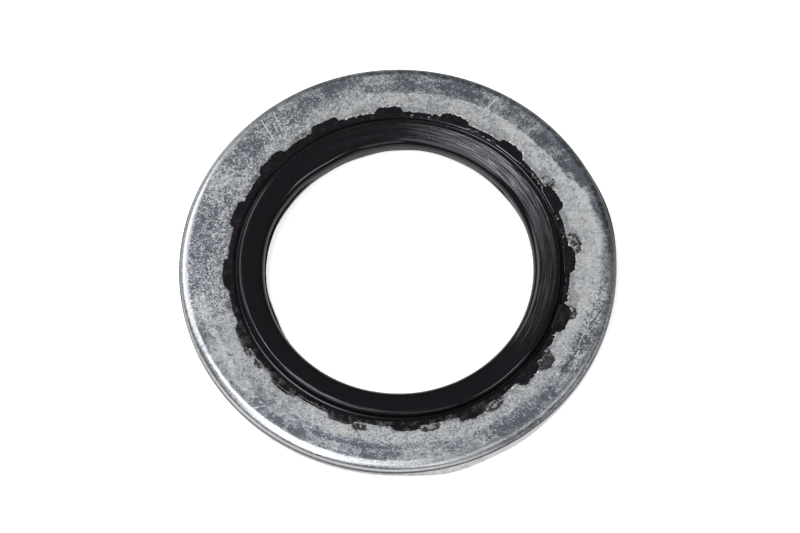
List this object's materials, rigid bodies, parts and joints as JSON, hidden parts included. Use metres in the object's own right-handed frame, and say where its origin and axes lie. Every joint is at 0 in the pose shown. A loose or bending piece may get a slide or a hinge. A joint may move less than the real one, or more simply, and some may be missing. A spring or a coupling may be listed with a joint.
{
  "type": "bonded seal washer",
  "caption": "Flat steel ring with a black rubber sealing ring moulded into its bore, for sealing under a fitting or bolt head.",
  "frame": {"origin": "on the bore axis, halfway through the steel ring", "axes": "+Z along the bore axis, out of the face whose outer edge is rolled; +X through the middle of one notch"},
  "size_m": [0.026, 0.026, 0.0018],
  "materials": {
    "zinc_plated_steel": "dull zinc plate, worn and scratched",
    "black_rubber": "moulded rubber, satin"
  },
  "bodies": {
    "root": {"steel_washer": "zinc_plated_steel", "rubber_seal": "black_rubber"}
  },
  "joints": []
}
